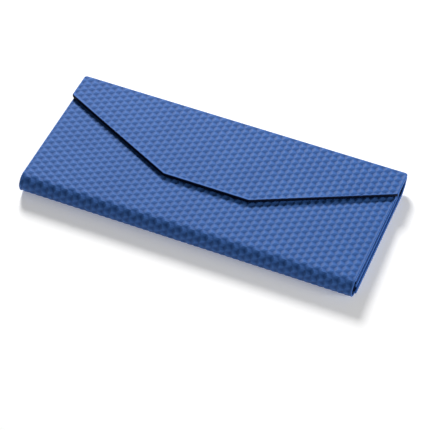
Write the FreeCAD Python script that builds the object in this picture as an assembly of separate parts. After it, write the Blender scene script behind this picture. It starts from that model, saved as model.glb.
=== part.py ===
"""Folding eyeglasses case, closed and folded flat.

A long leather wrap joins four stiff panels in a row: a front wall, a base wall, a back wall and an
envelope flap. Folded flat, the back wall lies underneath, the front wall lies on it, the base wall
lies on top, and the flap comes round the far edge and closes over the base wall. Each end has a
triangular gusset in two halves, folded inwards between the base wall and the front wall.

Units are millimetres. X runs along the case, +Y points from the spine to the flap's fold, +Z is up.
The origin is the centre of the case's footprint, on the surface that it lies on.
"""
import FreeCAD
import Part

import math
import os

V = FreeCAD.Vector

# Overall size
LENGTH = 165.0          # the back wall and the flap
DEPTH = 74.4            # from the outside of the spine to the outside of the flap's fold
INNER_LENGTH = 163.6    # the base wall and the front wall, which close inside the flap

# Layers of a wall, from the outside in
LEATHER = 0.5
BOARD = 1.0
LINING = 0.4
WALL = LEATHER + BOARD + LINING
TURN_IN = 1.2           # leather turned over the wall's edge that shows round the lining
EDGE_GAP = 0.05         # air between the board and the turned leather
CORNER = 1.2            # radius of a wall's corners in plan

# Spine: a half-round leather hinge between the back wall and the base wall
SPINE_RADIUS = 5.2
SPINE_LEATHER = 0.5
SPINE_LINING = 0.4
SPINE_Y = -DEPTH / 2 + SPINE_RADIUS
SPINE_Z = SPINE_RADIUS
TILT = 3.0              # the base wall slopes down to the far side by this many degrees

# Back wall
BACK_FAR_Y = 28.0

# Front wall, lying on the back wall
FRONT_GAP = 0.1
FRONT_Z = WALL + FRONT_GAP
FRONT_NEAR_Y = SPINE_Y + 1.6
FOLD_Y = 25.2           # where the front wall turns into the base wall

# Gussets: two halves of a triangle at each end, hinged to the base wall and to the front wall
GUSSET_LEATHER = 0.4
GUSSET_BOARD = 0.4
GUSSET_LINING = 0.3
GUSSET_HALF_ANGLE = 30.0
GUSSET_END_INSET = 0.5  # from the wall's end to the gusset's hinge line
GUSSET_NEAR_Y = SPINE_Y + 2.4
GUSSET_TIP_Y = 8.0      # the stiff part stops here, short of the fold
GUSSET_BOARD_INSET = 0.5  # from the leather's edge to the card's edge
GUSSET_CORNER = 0.8
LAYER_GAP = 0.05

# Flap: one stiff tongue with slanting sides
FLAP_LEATHER = 0.5
FLAP_BOARD = 0.9
FLAP_LINING = 0.4
FLAP_WALL = FLAP_LEATHER + FLAP_BOARD + FLAP_LINING
FLAP_GAP = 0.2
FLAP_STRAIGHT = 14.0    # length of the flap's square sides, from its hinge axis
FLAP_REACH = 45.0       # from its hinge axis to its front edge
FLAP_TIP_WIDTH = 42.5
FLAP_CORNER = 2.0
HINGE_CLEARANCE = 0.15

# Magnets in the flap, and steel keepers in the two walls that it closes on
MAGNET_RADIUS = 5.0
KEEPER_RADIUS = 6.0
MAGNET_SPACING = 28.0
MAGNET_INSET = 8.0      # from the flap's front edge
DISC_CLEARANCE = 0.1

# The flap's hinge axis: the flap lies parallel to the base wall, just above it
TILT_RAD = math.radians(TILT)
FLAP_HINGE_Y = DEPTH / 2 - FLAP_WALL / 2
FLAP_RISE = SPINE_RADIUS + FLAP_GAP + FLAP_WALL / 2   # above the spine axis, square to the wall
FLAP_HINGE_Z = SPINE_Z + (FLAP_RISE - (FLAP_HINGE_Y - SPINE_Y) * math.sin(TILT_RAD)) / math.cos(TILT_RAD)
FLAP_HINGE_V = (FLAP_HINGE_Y - SPINE_Y) / math.cos(TILT_RAD) - FLAP_RISE * math.tan(TILT_RAD)


def prism(points, z_low, z_high, radius=0.0):
    """A plate with this outline in plan, its corners rounded."""
    wire = Part.makePolygon([V(x, y, z_low) for x, y in points + points[:1]])
    plate = Part.Face(wire).extrude(V(0, 0, z_high - z_low))
    if radius:
        upright = [e for e in plate.Edges if abs(e.tangentAt(e.FirstParameter).z) > 0.99]
        plate = plate.makeFillet(radius, upright)
    return plate


def inset(points, margin):
    """The outline moved inwards by margin, with the same corners. Its points run anticlockwise."""
    moved = []
    for i, (x, y) in enumerate(points):
        before, after = points[i - 1], points[(i + 1) % len(points)]
        in_dir = V(x - before[0], y - before[1], 0).normalize()
        out_dir = V(after[0] - x, after[1] - y, 0).normalize()
        normal_in, normal_out = V(-in_dir.y, in_dir.x, 0), V(-out_dir.y, out_dir.x, 0)
        step = (normal_in + normal_out) * (margin / (1 + normal_in.dot(normal_out)))
        moved.append((x + step.x, y + step.y))
    return moved


def rectangle(length, y_near, y_far):
    return [(-length / 2, y_near), (length / 2, y_near), (length / 2, y_far), (-length / 2, y_far)]


def discs(radius, y, z_low, z_high):
    """A pair of discs side by side along the case."""
    pair = [Part.makeCylinder(radius, z_high - z_low, V(side * MAGNET_SPACING / 2, y, z_low))
            for side in (-1, 1)]
    return Part.makeCompound(pair)


def wall(points, layers, corner, disc_radius=None, disc_y=None):
    """A leather-covered wall lying outside down at z = 0: its cover, board, lining and discs.

    The leather wraps the board's edges and turns over them on the inside, round the lining.
    """
    leather, board, lining = layers
    board_top = leather + board
    top = board_top + lining
    pocket = prism(inset(points, leather), leather, board_top, corner)
    window = prism(inset(points, TURN_IN), board_top, top, corner)
    cover = prism(points, 0, top, corner).cut(pocket).cut(window)
    core = prism(inset(points, leather + EDGE_GAP), leather, board_top, corner)
    pieces = {"cover": cover, "lining": prism(inset(points, TURN_IN), board_top, top, corner)}
    if disc_radius:
        core = core.cut(discs(disc_radius + DISC_CLEARANCE, disc_y, leather, board_top))
        pieces["discs"] = discs(disc_radius, disc_y, leather, board_top)
    pieces["board"] = core
    return pieces


def flipped(shape, outside_z):
    """Turns a wall over, so that its outside faces up at this height."""
    turned = shape.mirror(V(0, 0, 0), V(0, 0, 1))
    turned.translate(V(0, 0, outside_z))
    return turned


def tilted(shape):
    """Slopes a piece down to the far side, about the spine's axis."""
    sloped = shape.copy()
    sloped.rotate(V(0, SPINE_Y, SPINE_Z), V(1, 0, 0), -TILT)
    return sloped


def on_plate(points_on_wall):
    """Wall distances from the spine axis, as y before the wall is tilted."""
    return [(x, SPINE_Y + v) for x, v in points_on_wall]


def arc_strip(length, centre_y, centre_z, outer, thickness, start, end):
    """A curved strip along the case: part of a ring seen along X, angles in degrees from +Y up."""
    def point(radius, angle):
        a = math.radians(angle)
        return V(-length / 2, centre_y + radius * math.cos(a), centre_z + radius * math.sin(a))

    middle, inner = (start + end) / 2, outer - thickness
    edges = [
        Part.Arc(point(outer, start), point(outer, middle), point(outer, end)).toShape(),
        Part.LineSegment(point(outer, end), point(inner, end)).toShape(),
        Part.Arc(point(inner, end), point(inner, middle), point(inner, start)).toShape(),
        Part.LineSegment(point(inner, start), point(outer, start)).toShape(),
    ]
    return Part.Face(Part.Wire(edges)).extrude(V(length, 0, 0))


def back_wall():
    points = rectangle(LENGTH, SPINE_Y, BACK_FAR_Y)
    pieces = wall(points, (LEATHER, BOARD, LINING), CORNER)
    return {f"back_{name}": shape for name, shape in pieces.items()}


def spine():
    """Leather outside and lining inside, from the back wall's edge to the base wall's edge."""
    inner = SPINE_RADIUS - SPINE_LEATHER
    return {
        "spine_cover": arc_strip(INNER_LENGTH, SPINE_Y, SPINE_Z, SPINE_RADIUS, SPINE_LEATHER,
                                 90 - TILT, 270),
        "spine_lining": arc_strip(INNER_LENGTH - 2 * TURN_IN, SPINE_Y, SPINE_Z, inner, SPINE_LINING,
                                  90 - TILT, 270),
    }


def disc_distance():
    """How far the discs' centres are from the spine axis, along the base wall."""
    return FLAP_HINGE_V - FLAP_REACH + MAGNET_INSET


def fold_radius():
    """The front fold's outside just reaches the outsides of the front wall and the base wall."""
    slope, cosine = math.tan(TILT_RAD), math.cos(TILT_RAD)
    wall_z = SPINE_Z + SPINE_RADIUS / cosine - (FOLD_Y - SPINE_Y) * slope
    return (wall_z - FRONT_Z) * cosine / (1 + cosine)


def base_wall():
    far_v = (FOLD_Y - SPINE_Y) / math.cos(TILT_RAD) - (SPINE_RADIUS - fold_radius()) * math.tan(TILT_RAD)
    points = rectangle(INNER_LENGTH, SPINE_Y, SPINE_Y + far_v)
    pieces = wall(points, (LEATHER, BOARD, LINING), CORNER, KEEPER_RADIUS, SPINE_Y + disc_distance())
    top = SPINE_Z + SPINE_RADIUS
    named = {f"base_{name}": tilted(flipped(shape, top)) for name, shape in pieces.items()}
    named["base_keepers"] = named.pop("base_discs")
    return named


def front_wall():
    """The keepers lie as far from the wall's free edge as they do on the base wall."""
    points = rectangle(INNER_LENGTH, FRONT_NEAR_Y, FOLD_Y)
    disc_y = FRONT_NEAR_Y + disc_distance()
    pieces = wall(points, (LEATHER, BOARD, LINING), CORNER, KEEPER_RADIUS, disc_y)
    for shape in pieces.values():
        shape.translate(V(0, 0, FRONT_Z))
    named = {f"front_{name}": shape for name, shape in pieces.items()}
    named["front_keepers"] = named.pop("front_discs")
    return named


def front_fold():
    """The leather hinge between the front wall and the base wall, round the far side."""
    radius = fold_radius()
    strip = arc_strip(INNER_LENGTH, FOLD_Y, FRONT_Z + radius, radius, SPINE_LEATHER, -90, 90 - TILT)
    return {"front_fold": strip}


def gusset_outline(side):
    """Half a gusset folded flat: its hinge line is near the wall's end, its point at the fold."""
    hinge_x = INNER_LENGTH / 2 - GUSSET_END_INSET
    spread = math.tan(math.radians(GUSSET_HALF_ANGLE))
    wide = hinge_x - (FOLD_Y - GUSSET_NEAR_Y) * spread
    narrow = hinge_x - (FOLD_Y - GUSSET_TIP_Y) * spread
    near_edge = [(wide, GUSSET_NEAR_Y), (hinge_x, GUSSET_NEAR_Y)]
    far_edge = [(hinge_x, GUSSET_TIP_Y), (narrow, GUSSET_TIP_Y)]
    points = near_edge + far_edge
    return points if side > 0 else [(-x, y) for x, y in reversed(points)]


def gussets():
    """Each half lies lining to lining against its own wall, leather facing the other half."""
    named = {}
    layers = (("lining", GUSSET_LINING), ("board", GUSSET_BOARD), ("cover", GUSSET_LEATHER))
    for side, side_name in ((-1, "left"), (1, "right")):
        outline = gusset_outline(side)
        card = inset(outline, GUSSET_BOARD_INSET)
        front_z = FRONT_Z + WALL + LAYER_GAP
        base_z = SPINE_Z + SPINE_RADIUS - WALL - LAYER_GAP
        for layer, thickness in layers:
            points = card if layer == "board" else outline
            front = prism(points, front_z, front_z + thickness, GUSSET_CORNER)
            base = tilted(prism(points, base_z - thickness, base_z, GUSSET_CORNER))
            named[f"gusset_{side_name}_front_{layer}"] = front
            named[f"gusset_{side_name}_base_{layer}"] = base
            front_z += thickness
            base_z -= thickness
    return named


def flap_outline():
    hinge = FLAP_HINGE_V
    half, tip = LENGTH / 2, FLAP_TIP_WIDTH / 2
    shoulder, front = hinge - FLAP_STRAIGHT, hinge - FLAP_REACH
    front_edge = [(-tip, front), (tip, front)]
    right_side = [(half, shoulder), (half, hinge)]
    left_side = [(-half, hinge), (-half, shoulder)]
    return on_plate(front_edge + right_side + left_side)


def flap():
    """The tongue, with its leather rolled round the hinge axis along its far edge."""
    disc_y = SPINE_Y + disc_distance()
    layers = (FLAP_LEATHER, FLAP_BOARD, FLAP_LINING)
    pieces = wall(flap_outline(), layers, 0, MAGNET_RADIUS, disc_y)
    roll = Part.makeCylinder(FLAP_WALL / 2, LENGTH, V(-LENGTH / 2, SPINE_Y + FLAP_HINGE_V, FLAP_WALL / 2),
                             V(1, 0, 0))
    pieces["cover"] = pieces["cover"].fuse(roll).cut(pieces["board"]).cut(pieces["lining"]).removeSplitter()
    top = SPINE_Z + FLAP_RISE + FLAP_WALL / 2
    named = {f"flap_{name}": tilted(flipped(shape, top)) for name, shape in pieces.items()}
    named["flap_magnets"] = named.pop("flap_discs")
    return named


def flap_strip():
    """The leather that runs on from the back wall and curls up under the flap's hinge."""
    thickness = SPINE_LEATHER + SPINE_LINING
    run = FLAP_HINGE_Y - BACK_FAR_Y
    # the strip's middle line leaves the back wall level and passes through the hinge axis
    middle = (run ** 2 + (FLAP_HINGE_Z - thickness / 2) ** 2) / (2 * (FLAP_HINGE_Z - thickness / 2))
    outer = middle + thickness / 2
    to_axis = math.degrees(math.asin(run / middle))
    clear = math.degrees((FLAP_WALL / 2 + HINGE_CLEARANCE + thickness / 2) / middle)
    strip = arc_strip(LENGTH, BACK_FAR_Y, outer, outer, thickness, -90, -90 + to_axis - clear)
    return {"flap_strip": strip}


def main():
    os.makedirs("parts", exist_ok=True)
    pieces = {}
    for group in (back_wall, spine, base_wall, front_wall, front_fold, gussets, flap, flap_strip):
        pieces.update(group())
    for name, shape in pieces.items():
        shape.exportStep(f"parts/{name}.step")
        box = shape.BoundBox
        print(f"{name}: {len(shape.Solids)} solids, valid {shape.isValid()}, {shape.Volume:.1f} mm3,"
              f" y {box.YMin:.2f} to {box.YMax:.2f}, z {box.ZMin:.2f} to {box.ZMax:.2f}")
    print(f"spine axis y {SPINE_Y:.3f} z {SPINE_Z:.3f}")
    print(f"flap axis y {FLAP_HINGE_Y:.3f} z {FLAP_HINGE_Z:.4f}")


main()
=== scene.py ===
import math

import bmesh
import bpy
import numpy as np
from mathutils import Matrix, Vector

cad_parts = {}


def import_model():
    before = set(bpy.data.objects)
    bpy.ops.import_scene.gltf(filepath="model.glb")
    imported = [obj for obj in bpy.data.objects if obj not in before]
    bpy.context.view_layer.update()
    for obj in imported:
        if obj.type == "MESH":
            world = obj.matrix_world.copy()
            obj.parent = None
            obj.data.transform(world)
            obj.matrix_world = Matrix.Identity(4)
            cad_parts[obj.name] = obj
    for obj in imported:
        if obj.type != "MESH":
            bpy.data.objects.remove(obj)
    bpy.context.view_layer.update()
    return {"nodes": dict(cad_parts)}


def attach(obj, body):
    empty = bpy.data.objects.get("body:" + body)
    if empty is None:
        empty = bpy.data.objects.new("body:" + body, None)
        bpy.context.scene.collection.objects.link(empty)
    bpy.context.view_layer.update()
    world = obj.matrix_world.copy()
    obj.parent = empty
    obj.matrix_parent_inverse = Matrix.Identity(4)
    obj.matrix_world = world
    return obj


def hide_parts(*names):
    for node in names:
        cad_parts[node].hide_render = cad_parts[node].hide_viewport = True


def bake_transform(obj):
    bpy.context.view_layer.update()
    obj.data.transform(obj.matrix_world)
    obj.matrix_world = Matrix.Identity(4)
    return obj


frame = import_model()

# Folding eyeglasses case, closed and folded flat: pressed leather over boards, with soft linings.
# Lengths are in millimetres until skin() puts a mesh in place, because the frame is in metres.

MM = 0.001

# The case, as the CAD part has it
BACK_LENGTH = 165.0
INNER_LENGTH = 163.6
TILT = math.radians(3.0)
SPINE_Y, SPINE_Z, SPINE_RADIUS = -32.0, 5.2, 5.2
BACK_FAR_Y = 28.0
WALL, WALL_LINING = 1.9, 0.4
STRIP = 0.9             # leather and lining together, where there is no board
STRIP_LINING = 0.4
FRONT_Z = 2.0
FRONT_NEAR_Y = -30.4
FOLD_Y = 25.2
FLAP_WALL = 1.8
FLAP_GAP = 0.2
FLAP_HINGE_Y = 36.3
FLAP_STRAIGHT, FLAP_REACH, FLAP_TIP_WIDTH = 14.0, 45.0, 42.5
HINGE_CLEARANCE = 0.15
STRIP_RUN_ON = 0.38     # the strip goes this far past the CAD strip's edge, towards the flap
GUSSET_INSET, GUSSET_NEAR_Y, GUSSET_TIP_Y = 0.5, -29.6, 8.0
GUSSET_HALF_ANGLE = 30  # degrees
GUSSET_LINING, GUSSET_BOARD, GUSSET_COVER = 0.3, 0.4, 0.4
LAYER_GAP = 0.05
FLAP_CORNER = 1.3       # corner radii in plan
SMALL_CORNER = 0.8
HEM = 1.2               # leather showing round a wall's lining
THINNING = 1.5          # a wall's depth eases to the strip's over this distance

# Rims, where the leather turns round an edge
RIM_RADIUS = 0.45
FLAP_RIM_RADIUS = 0.6
RIM_STEPS = 6
GUSSET_RIM_STEPS = 4
LINING_RIM_STEPS = 3
LEATHER_TONE = 0.65     # relief value of a leather rim, between the facets' peaks and valleys, which gives the rims a mid painted shade
PAINTED_SHADOW_TONE = 0.0        # relief value of the near-black painted shadow along the flap's free edges
PAINTED_SHADOW_OVERLAP = 0.5     # the painted shadow ends this far up the flap's square sides

# The pressed pattern: hexagons, each with three slanting facets that meet at its centre
PITCH = 3.65
COLUMN = PITCH * math.sqrt(3) / 2
FACET_SLOPE = 0.21
RIM_FADE = 0.3          # the pattern dies out over this distance from a rim
RELIEF_DEPTH = 0.8      # the relief value is 1 at the facets' peaks and 0 this far below them
CELL = (COLUMN / 6, PITCH / 4)
PLAIN_CELL = (3.0, 0.9)
FAR_AWAY = 1e9
TINY = 1e-9

COS, SIN, TAN = math.cos(TILT), math.sin(TILT), math.tan(TILT)
FLAP_RISE = SPINE_RADIUS + FLAP_GAP + FLAP_WALL / 2
FLAP_HINGE_Z = SPINE_Z + (FLAP_RISE - (FLAP_HINGE_Y - SPINE_Y) * SIN) / COS
FLAP_HINGE_V = (FLAP_HINGE_Y - SPINE_Y) / COS - FLAP_RISE * TAN
SPINE_ARC = SPINE_RADIUS * (math.pi + TILT)
FOLD_RADIUS = (SPINE_Z + SPINE_RADIUS / COS - (FOLD_Y - SPINE_Y) * TAN - FRONT_Z) * COS / (1 + COS)
FOLD_ARC = FOLD_RADIUS * (math.pi - TILT)
BASE_FAR_V = (FOLD_Y - SPINE_Y) / COS - (SPINE_RADIUS - FOLD_RADIUS) * TAN
STRIP_ACROSS = FLAP_HINGE_Y - BACK_FAR_Y
STRIP_UP = FLAP_HINGE_Z - STRIP / 2
STRIP_MIDDLE = (STRIP_ACROSS ** 2 + STRIP_UP ** 2) / (2 * STRIP_UP)
STRIP_OUTER = STRIP_MIDDLE + STRIP / 2
STRIP_SHORT = FLAP_WALL / 2 + HINGE_CLEARANCE + STRIP / 2 - STRIP_RUN_ON
STRIP_TURN = math.asin(STRIP_ACROSS / STRIP_MIDDLE) - STRIP_SHORT / STRIP_MIDDLE
STRIP_ARC = STRIP_OUTER * STRIP_TURN


# ---- from flat leather (across x, along v, height h above its outside) to its place on the case ----

def base_map(x, v, h):
    """The base wall for v above 0, then round the spine for v below 0."""
    angle = math.pi / 2 - TILT + np.maximum(-v, 0) / SPINE_RADIUS
    radius = SPINE_RADIUS + h
    along = np.maximum(v, 0)
    y = SPINE_Y + radius * np.cos(angle) + along * COS
    z = SPINE_Z + radius * np.sin(angle) - along * SIN
    return x, y, z


def back_map(x, v, h):
    """The back wall, outside down, then up the strip under the flap's hinge."""
    turn = np.maximum(v - BACK_FAR_Y, 0) / STRIP_OUTER
    radius = STRIP_OUTER + h
    y = np.minimum(v, BACK_FAR_Y) + radius * np.sin(turn)
    return x, y, STRIP_OUTER - radius * np.cos(turn)


def front_map(x, v, h):
    """The front wall, outside down, then round the fold up to the base wall."""
    turn = np.maximum(v - FOLD_Y, 0) / FOLD_RADIUS
    radius = FOLD_RADIUS + h
    y = np.minimum(v, FOLD_Y) + radius * np.sin(turn)
    return x, y, FRONT_Z + FOLD_RADIUS - radius * np.cos(turn)


def base_map_raised(x, v, height):
    """A point at this height above the spine's axis, square to the base wall."""
    return x, SPINE_Y + v * COS + height * SIN, SPINE_Z - v * SIN + height * COS


def flap_map(x, v, h):
    return base_map_raised(x, v, h + FLAP_RISE + FLAP_WALL / 2)


def inside(mapping, depth):
    """The mapping for a lining, which faces the other way and whose face lies this deep."""
    return lambda x, v, h: mapping(x, v, -depth - h)


def emboss(x, v):
    """Depth of the pressed pattern: every hexagon falls away from its centre along three facets."""
    near = np.full(x.shape, FAR_AWAY)
    out = np.zeros(x.shape)
    for step in (-1, 0, 1):
        column = np.round(x / COLUMN) + step
        shift = np.mod(column, 2) * PITCH / 2
        dx = x - column * COLUMN
        dv = v - shift - np.round((v - shift) / PITCH) * PITCH
        distance = dx * dx + dv * dv
        sector = np.floor(np.mod(np.arctan2(dv, dx), 2 * math.pi) / (2 * math.pi / 3) + TINY)
        facing = np.radians(60 + 120 * sector)
        fall = -FACET_SLOPE * (dx * np.cos(facing) + dv * np.sin(facing))
        closer = distance < near - TINY
        near = np.where(closer, distance, near)
        out = np.where(closer, fall, out)
    return out


def rounded(points, radius, steps=3):
    """A convex outline, anticlockwise, with its corners cut to short chords."""
    if not radius:
        return list(points)
    result = []
    for i, p in enumerate(points):
        before = np.array(points[i - 1], float)
        after = np.array(points[(i + 1) % len(points)], float)
        p = np.array(p, float)
        to_a = (before - p) / np.linalg.norm(before - p)
        to_b = (after - p) / np.linalg.norm(after - p)
        half = math.acos(max(-1, min(1, float(to_a @ to_b)))) / 2
        centre = p + (to_a + to_b) / np.linalg.norm(to_a + to_b) * radius / math.sin(half)
        first = p + to_a * radius / math.tan(half)
        last = p + to_b * radius / math.tan(half)
        start = math.atan2(*(first - centre)[::-1])
        turn = (math.atan2(*(last - centre)[::-1]) - start + math.pi) % (2 * math.pi) - math.pi
        for k in range(steps + 1):
            angle = start + turn * k / steps
            result.append(tuple(centre + radius * np.array([math.cos(angle), math.sin(angle)])))
    return result


def box_outline(length, near, far):
    return [(-length / 2, near), (length / 2, near), (length / 2, far), (-length / 2, far)]


def edge_lines(points, joined):
    """(a point, outward normal, whether the leather runs on past it) for each edge of the outline."""
    lines = []
    for i, p in enumerate(points):
        q = points[(i + 1) % len(points)]
        along = np.array([q[0] - p[0], q[1] - p[1]])
        normal = np.array([along[1], -along[0]]) / np.linalg.norm(along)
        runs_on = any(abs(p[1] - v) < 1e-6 and abs(q[1] - v) < 1e-6 for v in joined)
        lines.append((np.array(p, float), normal, runs_on))
    return lines


def grid_steps(values, step):
    """Whole steps that cover the values with one to spare at each end."""
    first = math.floor(min(values) / step) - 1
    last = math.ceil(max(values) / step) + 1
    return np.arange(first, last + 1) * step


def grid(points, cell):
    """A grid over the outline, in step with the pattern."""
    return np.meshgrid(grid_steps([p[0] for p in points], cell[0]),
                       grid_steps([p[1] for p in points], cell[1]))


def cell_centres(values):
    """The mean of the four corners of each cell."""
    return (values[:-1, :-1] + values[:-1, 1:] + values[1:, 1:] + values[1:, :-1]) / 4


def triangles(heights, centres):
    """Two triangles a cell, split along the diagonal that passes nearer the height at its centre."""
    rows, columns = heights.shape
    index = np.arange(rows * columns).reshape(rows, columns)
    a, b, c, d = index[:-1, :-1], index[:-1, 1:], index[1:, 1:], index[1:, :-1]
    flat = heights.ravel()
    split = np.abs((flat[a] + flat[c]) / 2 - centres) < np.abs((flat[b] + flat[d]) / 2 - centres)
    first = np.where(split[..., None], np.stack([a, b, c], -1), np.stack([a, b, d], -1))
    second = np.where(split[..., None], np.stack([a, c, d], -1), np.stack([b, c, d], -1))
    return np.concatenate([first.reshape(-1, 3), second.reshape(-1, 3)])


def leather_rim(v):
    """Relief value of a rim, the same all along."""
    return LEATHER_TONE


def painted_shadow_rim(v):
    """Relief value of the flap's rim: its front edge and slanting sides get a near-black painted shadow,
    standing in for the shade along and under the flap's edge.
    """
    return PAINTED_SHADOW_TONE if v < FLAP_HINGE_V - FLAP_STRAIGHT + PAINTED_SHADOW_OVERLAP else LEATHER_TONE


def pressed_heights(x, v, lines, reach):
    """Heights at the grid's nodes and at its cells' centres, for a pattern that dies out at the rims."""
    edge = np.full(x.shape, FAR_AWAY)
    for p, normal, runs_on in lines:
        if not runs_on:
            edge = np.minimum(edge, (p[0] - x) * normal[0] + (p[1] - v) * normal[1])
    fade = np.clip((edge - reach) / RIM_FADE, 0, 1)
    centres = emboss(cell_centres(x), cell_centres(v)) * cell_centres(fade)
    return emboss(x, v) * fade, centres


def cut_to_outline(bm, lines, reach):
    """Cuts the sheet to its outline, less the rim's reach at the free edges. Returns the cuts."""
    cuts = []
    for p, normal, runs_on in lines:
        foot = p if runs_on else p - normal * reach
        cuts.append((foot, normal, runs_on))
        bmesh.ops.bisect_plane(bm, geom=bm.verts[:] + bm.edges[:] + bm.faces[:], dist=1e-4,
                               plane_co=(foot[0], foot[1], 0), plane_no=(normal[0], normal[1], 0),
                               clear_outer=True)
    return cuts


def moved(bm, vertex, direction, distance, z):
    """A new vertex, moved this far in plan from the given one and set to height z."""
    x = vertex.co.x + direction[0] * distance
    y = vertex.co.y + direction[1] * distance
    return bm.verts.new((x, y, z))


def rim_rings(bm, cuts, depth, reach, hem, rim_steps):
    """Rings of vertices from the sheet's edge round the rim, and with a hem on under the wall."""
    loop = boundary(bm)
    out = [outward(vertex.co, cuts) for vertex in loop]
    rings = [loop]
    for k in range(1, rim_steps + 1):
        angle = math.pi * k / rim_steps
        side = reach * math.sin(angle)
        lower_half = 1 if k > rim_steps / 2 else 0
        drop = reach * (1 - math.cos(angle))
        rings.append([
            moved(bm, c, m, side,
                  c.co.z * (1 - k / rim_steps) - drop - lower_half * (depth(c.co.y) - 2 * reach))
            for c, m in zip(loop, out)])
    if hem:
        for rise in (0.0, WALL_LINING):
            rings.append([moved(bm, c, m, reach - hem, rise - depth(c.co.y)) for c, m in zip(loop, out)])
    return rings


def skin(name, points, mapping, depth, material, corner=0, joined=(), pattern=True, hem=HEM,
         rim_steps=RIM_STEPS, rim_tone=leather_rim, rim_radius=RIM_RADIUS):
    """Leather or lining over one side of a wall, turned round its edges in a rounded rim.

    It is made flat, cut to the outline and given its rims, and then bent into place by mapping.
    depth is the wall's thickness at v; no rim is made along the joined edges, given by their v.
    """
    outline = rounded(points, corner)
    lines = edge_lines(outline, joined)
    reach = min(rim_radius, depth(0) / 2)
    x, v = grid(outline, CELL if pattern else PLAIN_CELL)
    if pattern:
        h, centres = pressed_heights(x, v, lines, reach)
    else:
        h = np.zeros(x.shape)
        centres = cell_centres(h)
    mesh = bpy.data.meshes.new(name)
    vertices = np.stack([x.ravel(), v.ravel(), h.ravel()], -1)
    mesh.from_pydata(vertices.tolist(), [], triangles(h, centres).tolist())
    bm = bmesh.new()
    bm.from_mesh(mesh)
    cuts = cut_to_outline(bm, lines, reach)
    # The relief value drives the leather's painted shade: lighter on the facets' peaks, darker in the
    # pattern's hollows
    relief = bm.verts.layers.float.new("relief")
    for vertex in bm.verts:
        vertex[relief] = max(0.0, 1 + vertex.co.z / RELIEF_DEPTH)
    rings = rim_rings(bm, cuts, depth, reach, hem, rim_steps)
    for upper, lower in zip(rings, rings[1:]):
        for vertex in lower:
            vertex[relief] = rim_tone(vertex.co.y)
        for i in range(len(upper)):
            j = (i + 1) % len(upper)
            bm.faces.new([upper[i], upper[j], lower[j], lower[i]])
    bmesh.ops.recalc_face_normals(bm, faces=bm.faces[:])
    bm.to_mesh(mesh)
    bm.free()
    co = np.array([p.co for p in mesh.vertices], float).reshape(-1, 3)
    placed = np.stack(mapping(co[:, 0], co[:, 1], co[:, 2]), -1)
    mesh.vertices.foreach_set("co", (placed * MM).astype(np.float32).ravel())
    mesh.update()
    # The facets stay flat, and the rims' four-sided faces are shaded smooth
    mesh.polygons.foreach_set("use_smooth", [not pattern or len(f.vertices) == 4 for f in mesh.polygons])
    mesh.materials.append(material)
    obj = bpy.data.objects.new(name, mesh)
    bpy.context.scene.collection.objects.link(obj)
    outwards(obj, mapping, points)
    return obj


def outwards(obj, mapping, points):
    """Turns the faces to the outside, told by the face nearest the middle of the outline."""
    x, v = np.mean(np.array(points, float), axis=0)
    inner, outer = (np.array(mapping(np.array([x]), np.array([v]), np.array([h]))).reshape(3) * MM
                    for h in (-0.5, 0.0))
    nearest = min(obj.data.polygons, key=lambda f: (f.center - Vector(outer)).length_squared)
    if nearest.normal.dot(Vector(outer - inner)) < 0:
        obj.data.flip_normals()


def boundary(bm):
    """The vertices round the open edge, in order."""
    edges = [e for e in bm.edges if e.is_boundary]
    start = edges[0].verts[0]
    loop, used, current = [start], set(), start
    while True:
        step = next((e for e in current.link_edges if e.is_boundary and e not in used), None)
        if step is None:
            return loop
        used.add(step)
        current = step.other_vert(current)
        if current is start:
            return loop
        loop.append(current)


def outward(co, cuts):
    """How a rim point moves per unit of reach, square to the free edges it lies on."""
    touching = [(normal, 0.0 if runs_on else 1.0) for foot, normal, runs_on in cuts
                if abs((co.x - foot[0]) * normal[0] + (co.y - foot[1]) * normal[1]) < 2e-3]
    if not touching:
        return np.zeros(2)
    rows = np.array([t[0] for t in touching])
    wanted = np.array([t[1] for t in touching])
    return np.linalg.lstsq(rows, wanted, rcond=None)[0]


# ---- materials ----

def new_material(name):
    material = bpy.data.materials.new(name)
    material.use_nodes = True
    nodes, links = material.node_tree.nodes, material.node_tree.links
    return material, nodes, links, nodes["Principled BSDF"]


def ramp(nodes, links, source, stops):
    node = nodes.new("ShaderNodeValToRGB")
    while len(node.color_ramp.elements) < len(stops):
        node.color_ramp.elements.new(0.5)
    for element, (position, colour) in zip(node.color_ramp.elements, stops):
        element.position = position
        element.color = (*colour, 1)
    links.new(source, node.inputs["Fac"])
    return node


def noise(nodes, links, scale, detail=4.0, roughness=0.55):
    place = nodes.new("ShaderNodeTexCoord")
    node = nodes.new("ShaderNodeTexNoise")
    node.inputs["Scale"].default_value = scale
    node.inputs["Detail"].default_value = detail
    node.inputs["Roughness"].default_value = roughness
    links.new(place.outputs["Object"], node.inputs["Vector"])
    return node


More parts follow.
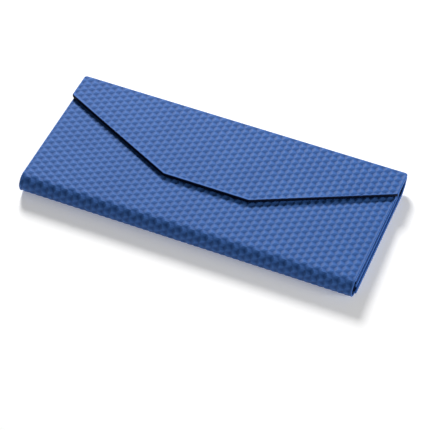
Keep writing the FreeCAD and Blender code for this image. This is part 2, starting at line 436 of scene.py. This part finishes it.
def leather_material():
    material, nodes, links, shader = new_material("blue_pressed_leather")
    relief = nodes.new("ShaderNodeAttribute")
    relief.attribute_name = "relief"
    # Painted shade from the relief: lightest on the facets' peaks, darker down in the pattern's hollows,
    # a mid tone at the rims and near-black for the flap's painted shadow
    painted_relief_shade = ramp(nodes, links, relief.outputs["Fac"],
                [(0.0, (0.002, 0.005, 0.020)),
                 (0.5, (0.026, 0.090, 0.300)),
                 (1.0, (0.066, 0.180, 0.520))])
    patches = noise(nodes, links, 70.0)
    tint = ramp(nodes, links, patches.outputs["Fac"],
                [(0.3, (0.90, 0.92, 0.94)), (0.7, (1.0, 1.0, 1.0))])
    mix = nodes.new("ShaderNodeMix")
    mix.data_type = "RGBA"
    mix.blend_type = "MULTIPLY"
    mix.inputs["Factor"].default_value = 1.0
    links.new(painted_relief_shade.outputs["Color"], mix.inputs["A"])
    links.new(tint.outputs["Color"], mix.inputs["B"])
    links.new(mix.outputs["Result"], shader.inputs["Base Color"])
    grain = noise(nodes, links, 5200.0, 3.0)
    gloss = ramp(nodes, links, grain.outputs["Fac"], [(0.3, (0.48,) * 3), (0.7, (0.62,) * 3)])
    links.new(gloss.outputs["Color"], shader.inputs["Roughness"])
    bump = nodes.new("ShaderNodeBump")
    bump.inputs["Strength"].default_value = 0.35
    bump.inputs["Distance"].default_value = 0.00006
    links.new(grain.outputs["Fac"], bump.inputs["Height"])
    links.new(bump.outputs["Normal"], shader.inputs["Normal"])
    shader.inputs["Specular IOR Level"].default_value = 0.12
    return material


def lining_material():
    material, nodes, links, shader = new_material("suede_lining")
    fibres = noise(nodes, links, 3800.0, 6.0, 0.7)
    patches = noise(nodes, links, 120.0)
    colour = ramp(nodes, links, patches.outputs["Fac"],
                  [(0.3, (0.010, 0.018, 0.060)), (0.7, (0.020, 0.034, 0.105))])
    links.new(colour.outputs["Color"], shader.inputs["Base Color"])
    shader.inputs["Roughness"].default_value = 0.95
    shader.inputs["Sheen Weight"].default_value = 0.08
    shader.inputs["Sheen Tint"].default_value = (0.25, 0.40, 0.90, 1)
    shader.inputs["Specular IOR Level"].default_value = 0.1
    shader.inputs["Sheen Roughness"].default_value = 0.5
    bump = nodes.new("ShaderNodeBump")
    bump.inputs["Strength"].default_value = 0.6
    bump.inputs["Distance"].default_value = 0.00012
    links.new(fibres.outputs["Fac"], bump.inputs["Height"])
    links.new(bump.outputs["Normal"], shader.inputs["Normal"])
    return material


def board_material():
    material, nodes, links, shader = new_material("grey_board")
    flecks = noise(nodes, links, 1500.0, 5.0, 0.7)
    colour = ramp(nodes, links, flecks.outputs["Fac"],
                  [(0.35, (0.040, 0.040, 0.044)), (0.65, (0.085, 0.085, 0.092))])
    links.new(colour.outputs["Color"], shader.inputs["Base Color"])
    shader.inputs["Roughness"].default_value = 0.9
    bump = nodes.new("ShaderNodeBump")
    bump.inputs["Distance"].default_value = 0.00005
    links.new(flecks.outputs["Fac"], bump.inputs["Height"])
    links.new(bump.outputs["Normal"], shader.inputs["Normal"])
    return material


def metal_material(name, colour, rough):
    material, nodes, links, shader = new_material(name)
    streaks = noise(nodes, links, 900.0, 6.0)
    gloss = ramp(nodes, links, streaks.outputs["Fac"],
                 [(0.3, (rough - 0.08,) * 3), (0.7, (rough + 0.08,) * 3)])
    links.new(gloss.outputs["Color"], shader.inputs["Roughness"])
    shader.inputs["Base Color"].default_value = (*colour, 1)
    shader.inputs["Metallic"].default_value = 1.0
    return material


leather = leather_material()
lining = lining_material()
board = board_material()
magnet = metal_material("nickel_magnet", (0.66, 0.64, 0.60), 0.22)
keeper = metal_material("plain_sheet_steel", (0.50, 0.51, 0.53), 0.40)

for node_name, node in frame["nodes"].items():
    finish = board
    if node_name == "flap_magnets":
        finish = magnet
    elif node_name.endswith("_keepers"):
        finish = keeper
    elif node_name.endswith("_lining"):
        finish = lining
    elif not node_name.endswith("_board"):
        finish = leather
    node.data.materials.clear()
    node.data.materials.append(finish)


# ---- the leather ----

def base_depth(v):
    """Full wall thickness, easing to the thinner spine."""
    return WALL if v > 0 else max(STRIP, WALL + v * (WALL - STRIP) / THINNING)


def back_depth(v):
    """Full wall thickness, easing to the thinner strip under the flap's hinge."""
    return WALL if v < BACK_FAR_Y else max(STRIP, WALL - (v - BACK_FAR_Y) * (WALL - STRIP) / THINNING)


def front_depth(v):
    """Full wall thickness, easing to the thinner fold over as far as it loses in depth."""
    return WALL if v < FOLD_Y else max(STRIP, WALL - (v - FOLD_Y))


def flap_points(grow):
    """The flap's envelope outline, drawn out past its hinge by grow."""
    front, shoulder = FLAP_HINGE_V - FLAP_REACH, FLAP_HINGE_V - FLAP_STRAIGHT
    far, half, tip = FLAP_HINGE_V + grow, BACK_LENGTH / 2, FLAP_TIP_WIDTH / 2
    right = [(tip, front), (half, shoulder), (half, far)]
    left = [(-half, far), (-half, shoulder)]
    return [(-tip, front)] + right + left


STRIP_FAR = BACK_FAR_Y + STRIP_ARC
FOLD_FAR = FOLD_Y + FOLD_ARC

wrap_base = skin("base_and_spine_leather", box_outline(INNER_LENGTH, -SPINE_ARC, BASE_FAR_V), base_map,
                 base_depth, leather, joined=(-SPINE_ARC, BASE_FAR_V))
wrap_back = skin("back_and_flap_strip_leather", box_outline(BACK_LENGTH, SPINE_Y, STRIP_FAR), back_map,
                 back_depth, leather, joined=(SPINE_Y, STRIP_FAR))
front = skin("front_and_fold_leather", box_outline(INNER_LENGTH, FRONT_NEAR_Y, FOLD_FAR), front_map,
             front_depth, leather, joined=(FOLD_FAR,))
flap = skin("flap_leather", flap_points(FLAP_WALL / 2), flap_map,
            lambda v: FLAP_WALL, leather,
            corner=FLAP_CORNER, rim_tone=painted_shadow_rim, rim_radius=FLAP_RIM_RADIUS)

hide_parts("base_cover", "spine_cover")
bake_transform(wrap_base)
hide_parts("back_cover", "flap_strip")
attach(wrap_back, "back_wall")
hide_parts("front_cover", "front_fold")
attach(front, "trough")
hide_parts("flap_cover")
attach(flap, "flap")


# ---- the linings ----

def shrink(points, margin, joined):
    """The outline moved in by margin, except at the edges where the lining runs on."""
    lines = edge_lines(points, joined)
    result = []
    for i in range(len(points)):
        (p, n, p_on), (q, m, q_on) = lines[i - 1], lines[i]
        rows = np.array([n, m])
        wanted = np.array([n @ p - (0 if p_on else margin), m @ q - (0 if q_on else margin)])
        result.append(tuple(np.linalg.solve(rows, wanted)))
    return result


def lining_skin(name, points, mapping, depth, thickness=STRIP_LINING, corner=0, joined=()):
    """A plain lining whose face lies this deep behind the leather's outside."""
    return skin(name, points, inside(mapping, depth), lambda v: thickness, lining,
                corner=corner, joined=joined, pattern=False, hem=0, rim_steps=LINING_RIM_STEPS)


def wall_lining(node, body, points, mapping, wall, joined=()):
    corner = 0 if joined else SMALL_CORNER
    obj = lining_skin(node + "_suede", shrink(points, HEM, joined), mapping, wall,
                      WALL_LINING, corner, joined)
    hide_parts(node)
    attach(obj, body)


wall_lining("back_lining", "back_wall", box_outline(BACK_LENGTH, SPINE_Y, BACK_FAR_Y), back_map, WALL,
            joined=(SPINE_Y, BACK_FAR_Y))
wall_lining("base_lining", "trough", box_outline(INNER_LENGTH, 0, BASE_FAR_V), base_map, WALL,
            joined=(0, BASE_FAR_V))
wall_lining("front_lining", "trough", box_outline(INNER_LENGTH, FRONT_NEAR_Y, FOLD_Y), front_map, WALL,
            joined=(FOLD_Y,))
wall_lining("flap_lining", "flap", flap_points(0), flap_map, FLAP_WALL)

spine_lining = lining_skin("spine_lining_suede", box_outline(INNER_LENGTH - 2 * HEM, -SPINE_ARC, 0),
                           base_map, STRIP, joined=(-SPINE_ARC, 0))
strip_lining = lining_skin("flap_strip_suede", box_outline(BACK_LENGTH - 2 * HEM, BACK_FAR_Y, STRIP_FAR),
                           back_map, STRIP, joined=(BACK_FAR_Y, STRIP_FAR))
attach(strip_lining, "back_wall")
fold_lining = lining_skin("front_fold_suede", box_outline(INNER_LENGTH - 2 * HEM, FOLD_Y, FOLD_FAR),
                          front_map, STRIP, joined=(FOLD_Y, FOLD_FAR))
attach(fold_lining, "trough")
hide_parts("spine_lining")
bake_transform(spine_lining)


# ---- the gussets, folded inwards at both ends ----

def gusset_points(side):
    """Half of the end's triangle, its tip cut off; side is -1 on the left and 1 on the right."""
    hinge_x = INNER_LENGTH / 2 - GUSSET_INSET
    spread = math.tan(math.radians(GUSSET_HALF_ANGLE))
    wide, narrow = (hinge_x - (FOLD_Y - y) * spread for y in (GUSSET_NEAR_Y, GUSSET_TIP_Y))
    near_edge = [(wide, GUSSET_NEAR_Y), (hinge_x, GUSSET_NEAR_Y)]
    far_edge = [(hinge_x, GUSSET_TIP_Y), (narrow, GUSSET_TIP_Y)]
    points = near_edge + far_edge
    return points if side > 0 else [(-x, y) for x, y in reversed(points)]


GUSSET = GUSSET_LINING + GUSSET_BOARD + GUSSET_COVER
FRONT_GUSSET_TOP = FRONT_Z + WALL + LAYER_GAP + GUSSET
BASE_GUSSET_LOW = SPINE_RADIUS - WALL - LAYER_GAP - GUSSET


def front_gusset_map(x, y, h):
    return x, y, FRONT_GUSSET_TOP + h


def base_gusset_map(x, y, h):
    return base_map_raised(x, y - SPINE_Y, BASE_GUSSET_LOW - h)


def gusset_half(side_name, wall_name, points, mapping):
    stem = f"gusset_{side_name}_{wall_name}"
    cover = skin(stem + "_leather", points, mapping, lambda v: GUSSET_COVER, leather,
                 corner=SMALL_CORNER, hem=0, rim_steps=GUSSET_RIM_STEPS)
    back = lining_skin(stem + "_suede", points, mapping, GUSSET, GUSSET_LINING, SMALL_CORNER)
    for obj, layer in ((cover, "cover"), (back, "lining")):
        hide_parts(f"{stem}_{layer}")
        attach(obj, "trough")


for side, side_name in ((-1, "left"), (1, "right")):
    gusset_half(side_name, "front", gusset_points(side), front_gusset_map)
    gusset_half(side_name, "base", gusset_points(side), base_gusset_map)


# ---- floor, light and camera ----

FLOOR_HALF = 3          # from here on, lengths are in metres
CAMERA_AZIMUTH, CAMERA_ELEVATION = math.radians(22.63), math.radians(49.74)
CAMERA_DISTANCE = 0.8944
CAMERA_RIGHT, CAMERA_DOWN = 0.00096, 0.01169
CAMERA_LENS, CAMERA_SENSOR = 160.87, 36.0


def floor():
    half = FLOOR_HALF
    mesh = bpy.data.meshes.new("floor")
    mesh.from_pydata([(-half, -half, 0), (half, -half, 0), (half, half, 0), (-half, half, 0)], [],
                     [(0, 1, 2, 3)])
    obj = bpy.data.objects.new("floor", mesh)
    bpy.context.scene.collection.objects.link(obj)
    material, _, _, shader = new_material("white_floor")
    shader.inputs["Base Color"].default_value = (0.93, 0.93, 0.93, 1)
    shader.inputs["Roughness"].default_value = 0.8
    shader.inputs["Emission Color"].default_value = (1, 1, 1, 1)
    shader.inputs["Emission Strength"].default_value = 0.25
    mesh.materials.append(material)


def area_light(name, place, size, power):
    """A round soft light that points at the case."""
    data = bpy.data.lights.new(name, "AREA")
    data.shape = "DISK"
    data.size = size
    data.energy = power
    obj = bpy.data.objects.new(name, data)
    obj.location = place
    obj.rotation_mode = "QUATERNION"
    obj.rotation_quaternion = (-Vector(place)).to_track_quat("-Z", "Y")
    bpy.context.scene.collection.objects.link(obj)


def camera():
    """A long lens over the near right corner, looking down on the closed case."""
    flat = math.cos(CAMERA_ELEVATION)
    back = Vector((math.sin(CAMERA_AZIMUTH) * flat, -math.cos(CAMERA_AZIMUTH) * flat,
                   math.sin(CAMERA_ELEVATION)))
    right = (-back).cross(Vector((0, 0, 1))).normalized()
    up = right.cross(-back)
    data = bpy.data.cameras.new("camera")
    data.lens = CAMERA_LENS
    data.sensor_width = CAMERA_SENSOR
    obj = bpy.data.objects.new("camera", data)
    obj.location = back * CAMERA_DISTANCE + right * CAMERA_RIGHT - up * CAMERA_DOWN
    obj.rotation_mode = "QUATERNION"
    obj.rotation_quaternion = (-back).to_track_quat("-Z", "Y")
    bpy.context.scene.collection.objects.link(obj)
    bpy.context.scene.camera = obj


def world():
    bpy.context.scene.world = bpy.data.worlds.new("studio")
    bpy.context.scene.world.use_nodes = True
    sky = bpy.context.scene.world.node_tree.nodes["Background"]
    sky.inputs["Color"].default_value = (1, 1, 1, 1)
    sky.inputs["Strength"].default_value = 0.11


floor()
world()
area_light("key", (-0.52, 0.86, 0.66), size=0.4, power=18.8)
area_light("end_light", (0.9, -0.05, 0.22), size=0.4, power=6.0)
camera()
bpy.context.scene.view_settings.view_transform = "Standard"
